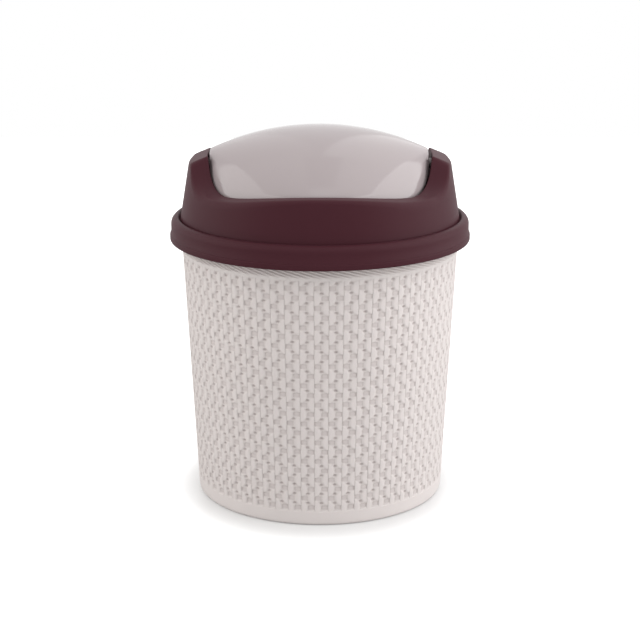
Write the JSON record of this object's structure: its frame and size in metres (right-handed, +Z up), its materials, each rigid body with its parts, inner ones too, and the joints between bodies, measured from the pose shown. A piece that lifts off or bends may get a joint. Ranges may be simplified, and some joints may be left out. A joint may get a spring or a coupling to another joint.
{
  "type": "countertop trash can with swing lid",
  "caption": "Round tapered countertop bin with a woven-look bucket, lift-off collar and a domed flap that swings in both directions and closes by its own weight.",
  "frame": {"origin": "centre of the base on the worktop", "axes": "+Z up, -Y towards the front, X along the flap's pivot axis"},
  "size_m": [0.1653, 0.1652, 0.2054],
  "materials": {
    "bucket": "warm off-white, moulded weave relief, satin",
    "collar": "dark aubergine brown, fine matt grain",
    "flap": "pale greige, polished",
    "pin": "greige, as moulded",
    "weight": "bright drawn bar"
  },
  "bodies": {
    "bin": {"bin_bucket": "bucket"},
    "lid": {"lid_collar": "collar"},
    "flap": {"swing_flap": "flap", "pivot_pin_left": "pin", "pivot_pin_right": "pin", "closing_weight": "weight"}
  },
  "joints": [
    {"name": "lid_lift", "type": "slide", "parent": "bin", "child": "lid", "axis": [0, 0, 1], "range_m": [0, 0.06]},
    {"name": "flap_swing", "type": "hinge", "parent": "lid", "child": "flap", "pos_m": [0, 0, 0.18505], "axis": [1, 0, 0], "range_deg": [-80, 80]}
  ]
}
